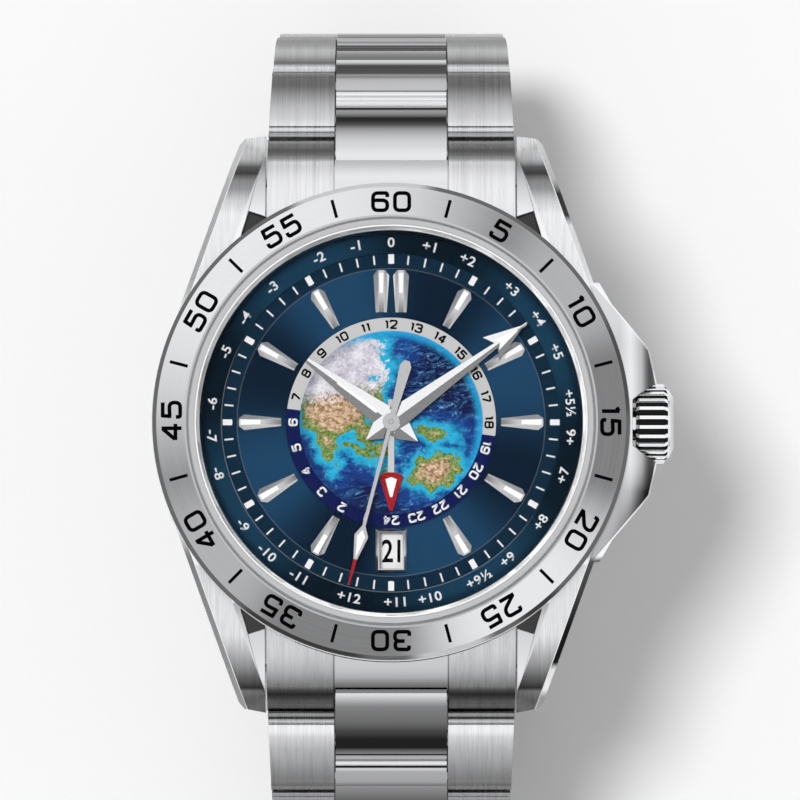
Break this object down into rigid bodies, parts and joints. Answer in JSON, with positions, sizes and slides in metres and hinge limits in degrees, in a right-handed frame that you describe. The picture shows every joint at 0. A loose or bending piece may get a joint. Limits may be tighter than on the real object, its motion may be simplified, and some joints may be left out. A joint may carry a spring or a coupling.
{
  "type": "mechanical wristwatch",
  "caption": "Round steel wristwatch with a rotating bezel, a second time zone hand, a winding crown and a link bracelet that closes with a fold-over clasp.",
  "frame": {"origin": "on the axis of the hands, at the flat outer face of the case back", "axes": "+Z out through the dial, +Y towards 12 o'clock, +X towards the crown"},
  "size_m": [0.0456, 0.0766, 0.0463],
  "materials": {
    "brushed_steel": "fine brushed",
    "polished_steel": "polished",
    "sapphire": "clear polished",
    "gasket": "satin",
    "navy_dial": "sunburst lacquer",
    "globe_print": "printed",
    "gilt": "gilt",
    "ruby": "polished",
    "blued": "heat blued",
    "plate_steel": "grained",
    "red_hand": "lacquer",
    "date_white": "printed",
    "alloy": "satin",
    "tungsten": "satin"
  },
  "bodies": {
    "case": {"case_middle": "brushed_steel", "crystal": "sapphire", "crystal_gasket": "gasket", "case_back": "brushed_steel", "back_window": "sapphire", "crown_tube": "polished_steel", "movement_ring": "alloy", "spring_bars": "polished_steel", "end_link_12": "brushed_steel", "end_link_6": "brushed_steel", "bezel_wire": "polished_steel", "dial": "navy_dial", "chapter_ring": "navy_dial", "hour_markers": "polished_steel", "date_frame": "polished_steel", "globe_disc": "globe_print", "main_plate": "plate_steel", "barrel_bridge": "plate_steel", "train_bridge": "plate_steel", "balance_cock": "plate_steel", "jewels": "ruby", "bridge_screws": "blued", "hairspring": "blued"},
    "bezel_body": {"bezel": "polished_steel"},
    "seconds_body": {"fourth_wheel": "gilt", "seconds_hand": "polished_steel"},
    "minutes_body": {"centre_wheel": "gilt", "minute_hand": "polished_steel"},
    "hours_body": {"hour_wheel": "gilt", "hour_hand": "polished_steel"},
    "gmt_body": {"gmt_wheel": "gilt", "gmt_hand": "red_hand"},
    "barrel_body": {"barrel": "gilt", "mainspring": "blued"},
    "third_body": {"third_wheel": "gilt"},
    "escape_body": {"escape_wheel": "polished_steel"},
    "minute_wheel_body": {"minute_wheel": "gilt"},
    "pallet_body": {"pallet_fork": "polished_steel"},
    "balance_body": {"balance_wheel": "gilt"},
    "date_body": {"date_ring": "date_white"},
    "rotor_body": {"rotor": "tungsten"},
    "lever_body": {"setting_lever": "polished_steel"},
    "crown_body": {"crown": "brushed_steel", "winding_stem": "polished_steel"},
    "crown_wheel_body": {"crown_wheel": "polished_steel"},
    "ratchet_body": {"ratchet_wheel": "polished_steel"},
    "row_12_1": {"link_12_1": "brushed_steel"},
    "row_12_2": {"link_12_2": "brushed_steel"},
    "row_12_3": {"link_12_3": "brushed_steel"},
    "row_12_4": {"link_12_4": "brushed_steel"},
    "row_12_5": {"link_12_5": "brushed_steel"},
    "row_6_1": {"link_6_1": "brushed_steel"},
    "row_6_2": {"link_6_2": "brushed_steel"},
    "row_6_3": {"link_6_3": "brushed_steel"},
    "row_6_4": {"link_6_4": "brushed_steel"},
    "row_6_5": {"link_6_5": "brushed_steel"},
    "row_6_6": {"link_6_6": "brushed_steel"},
    "inner_blade": {"clasp_inner_blade": "brushed_steel"},
    "middle_blade": {"clasp_middle_blade": "brushed_steel"},
    "cover": {"clasp_cover": "brushed_steel"}
  },
  "joints": [
    {"name": "bezel_turn", "type": "hinge", "parent": "case", "child": "bezel_body", "pos_m": [0, 0, 0.0095], "axis": [0, 0, -1], "continuous": true},
    {"name": "seconds_turn", "type": "hinge", "parent": "case", "child": "seconds_body", "pos_m": [0, 0, 0.008], "axis": [0, 0, -1], "continuous": true},
    {"name": "third_turn", "type": "hinge", "parent": "case", "child": "third_body", "pos_m": [-0.00425, -0.00075, 0.005], "axis": [0, 0, -1], "continuous": true},
    {"name": "minutes_turn", "type": "hinge", "parent": "case", "child": "minutes_body", "pos_m": [0, 0, 0.008], "axis": [0, 0, -1], "continuous": true},
    {"name": "barrel_turn", "type": "hinge", "parent": "case", "child": "barrel_body", "pos_m": [0.00312, 0.0054, 0.0046], "axis": [0, 0, -1], "continuous": true},
    {"name": "escape_turn", "type": "hinge", "parent": "case", "child": "escape_body", "pos_m": [0, -0.00364, 0.0046], "axis": [0, 0, -1], "continuous": true},
    {"name": "minute_wheel_turn", "type": "hinge", "parent": "case", "child": "minute_wheel_body", "pos_m": [-0.0012, 0.00208, 0.0066], "axis": [0, 0, -1], "continuous": true},
    {"name": "hours_turn", "type": "hinge", "parent": "case", "child": "hours_body", "pos_m": [0, 0, 0.008], "axis": [0, 0, -1], "continuous": true},
    {"name": "gmt_turn", "type": "hinge", "parent": "case", "child": "gmt_body", "pos_m": [0, 0, 0.008], "axis": [0, 0, -1], "continuous": true},
    {"name": "pallet_rock", "type": "hinge", "parent": "case", "child": "pallet_body", "pos_m": [-0.00214, -0.00502, 0.0047], "axis": [0, 0, -1], "range_deg": [-5, 5]},
    {"name": "balance_swing", "type": "hinge", "parent": "case", "child": "balance_body", "pos_m": [-0.0046, -0.0066, 0.0042], "axis": [0, 0, -1], "range_deg": [-270, 270]},
    {"name": "date_turn", "type": "hinge", "parent": "case", "child": "date_body", "pos_m": [0, 0, 0.0071], "axis": [0, 0, -1], "continuous": true},
    {"name": "rotor_turn", "type": "hinge", "parent": "case", "child": "rotor_body", "pos_m": [0, 0, 0.002], "axis": [0, 0, -1], "continuous": true},
    {"name": "crown_pull", "type": "slide", "parent": "case", "child": "lever_body", "axis": [1, 0, 0], "range_m": [0, 0.0014]},
    {"name": "crown_turn", "type": "hinge", "parent": "lever_body", "child": "crown_body", "pos_m": [0.022, 0, 0.0046], "axis": [1, 0, 0], "continuous": true},
    {"name": "crown_wheel_turn", "type": "hinge", "parent": "case", "child": "crown_wheel_body", "pos_m": [0.00751, 0, 0.003], "axis": [0, 0, -1], "continuous": true},
    {"name": "ratchet_turn", "type": "hinge", "parent": "case", "child": "ratchet_body", "pos_m": [0.00312, 0.0054, 0.003], "axis": [0, 0, -1], "continuous": true},
    {"name": "pin_12_1", "type": "hinge", "parent": "case", "child": "row_12_1", "pos_m": [0, 0.02385, 0.0028], "axis": [1, 0, 0], "range_deg": [0, 25]},
    {"name": "pin_12_2", "type": "hinge", "parent": "row_12_1", "child": "row_12_2", "pos_m": [0, 0.03017, -0.00085], "axis": [1, 0, 0], "range_deg": [0, 30]},
    {"name": "pin_12_3", "type": "hinge", "parent": "row_12_2", "child": "row_12_3", "pos_m": [0, 0.03412, -0.00894], "axis": [1, 0, 0], "range_deg": [0, 20]},
    {"name": "pin_12_4", "type": "hinge", "parent": "row_12_3", "child": "row_12_4", "pos_m": [0, 0.0349, -0.0179], "axis": [1, 0, 0], "range_deg": [0, 25]},
    {"name": "pin_12_5", "type": "hinge", "parent": "row_12_4", "child": "row_12_5", "pos_m": [0, 0.03153, -0.02625], "axis": [1, 0, 0], "range_deg": [0, 28]},
    {"name": "pin_6_1", "type": "hinge", "parent": "case", "child": "row_6_1", "pos_m": [0, -0.02385, 0.0028], "axis": [-1, 0, 0], "range_deg": [0, 16]},
    {"name": "pin_6_2", "type": "hinge", "parent": "row_6_1", "child": "row_6_2", "pos_m": [0, -0.03079, 0.00054], "axis": [-1, 0, 0], "range_deg": [0, 28]},
    {"name": "pin_6_3", "type": "hinge", "parent": "row_6_2", "child": "row_6_3", "pos_m": [0, -0.03681, -0.00614], "axis": [-1, 0, 0], "range_deg": [0, 28]},
    {"name": "pin_6_4", "type": "hinge", "parent": "row_6_3", "child": "row_6_4", "pos_m": [0, -0.03869, -0.01495], "axis": [-1, 0, 0], "range_deg": [0, 26]},
    {"name": "pin_6_5", "type": "hinge", "parent": "row_6_4", "child": "row_6_5", "pos_m": [0, -0.03621, -0.0236], "axis": [-1, 0, 0], "range_deg": [0, 27]},
    {"name": "pin_6_6", "type": "hinge", "parent": "row_6_5", "child": "row_6_6", "pos_m": [0, -0.02984, -0.02996], "axis": [-1, 0, 0], "range_deg": [0, 25]},
    {"name": "clasp_hinge", "type": "hinge", "parent": "row_12_5", "child": "inner_blade", "pos_m": [0, 0.02444, -0.03179], "axis": [1, 0, 0], "range_deg": [0, 40]},
    {"name": "fold_hinge", "type": "hinge", "parent": "inner_blade", "child": "middle_blade", "pos_m": [0, -0.0155, -0.03232], "axis": [-1, 0, 0], "range_deg": [0, 100]},
    {"name": "cover_hinge", "type": "hinge", "parent": "middle_blade", "child": "cover", "pos_m": [0, 0.02184, -0.03304], "axis": [1, 0, 0], "range_deg": [0, 100]}
  ],
  "couplings": [
    {"joint": "third_turn", "follows": "seconds_turn", "ratio": -0.13333},
    {"joint": "minutes_turn", "follows": "seconds_turn", "ratio": 0.016667},
    {"joint": "barrel_turn", "follows": "seconds_turn", "ratio": -0.002381},
    {"joint": "escape_turn", "follows": "seconds_turn", "ratio": -12},
    {"joint": "minute_wheel_turn", "follows": "seconds_turn", "ratio": -0.0055556},
    {"joint": "hours_turn", "follows": "seconds_turn", "ratio": 0.0013889},
    {"joint": "gmt_turn", "follows": "seconds_turn", "ratio": 0.00069444},
    {"joint": "crown_wheel_turn", "follows": "crown_turn", "ratio": -0.37931},
    {"joint": "ratchet_turn", "follows": "crown_turn", "ratio": 0.18966},
    {"joint": "fold_hinge", "follows": "cover_hinge", "ratio": 1}
  ]
}
